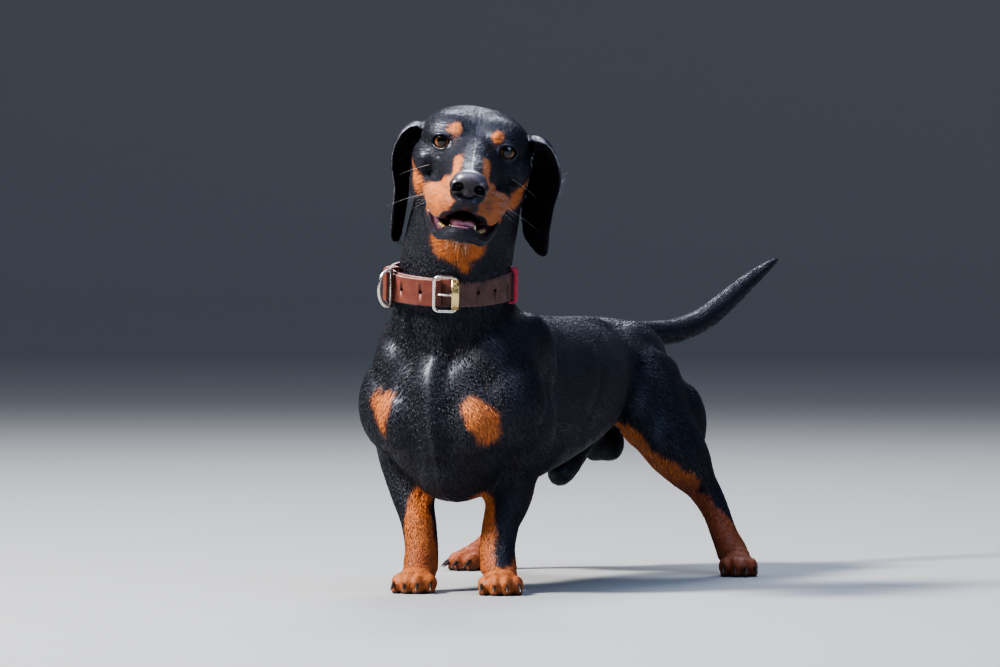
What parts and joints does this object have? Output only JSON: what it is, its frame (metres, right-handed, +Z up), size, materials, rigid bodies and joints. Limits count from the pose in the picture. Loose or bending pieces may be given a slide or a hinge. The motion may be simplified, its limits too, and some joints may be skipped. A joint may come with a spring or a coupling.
{
  "type": "standing dachshund",
  "caption": "Life-size smooth black and tan dachshund standing alert with its head turned, mouth a little open, tail out behind, wearing a buckled leather collar.",
  "frame": {"origin": "on the floor under the centre of the whole dog's bounding box", "axes": "+Z up, the dog's body faces -Y, the dog's left side is +X"},
  "size_m": [0.3036, 0.7484, 0.4137],
  "materials": {
    "black_coat": "smooth glossy short fur",
    "tan_coat": "short fur",
    "eye": "wet gloss",
    "nose_leather": "moist pebbled skin",
    "tongue": "wet",
    "collar_leather": "worn satin",
    "collar_metal": "polished",
    "collar_cord": "braided"
  },
  "bodies": {
    "root": {"collar_buckle": "collar_metal", "collar_cord": "collar_cord", "collar_keeper": "collar_leather", "collar_pin": "collar_metal", "collar_ring": "collar_metal", "collar_strap": "collar_leather", "collar_tongue": "collar_leather", "ear_left": "black_coat", "ear_right": "black_coat", "eye_left": "eye", "eye_right": "eye", "foreleg_left": "black_coat", "foreleg_right": "black_coat", "head": "black_coat", "hindleg_left": "black_coat", "hindleg_right": "black_coat", "jaw": "black_coat", "neck": "black_coat", "nose": "nose_leather", "paw_front_left": "tan_coat", "paw_front_right": "tan_coat", "paw_hind_left": "tan_coat", "paw_hind_right": "tan_coat", "tail": "black_coat", "tongue": "tongue", "torso": "black_coat"}
  },
  "joints": []
}
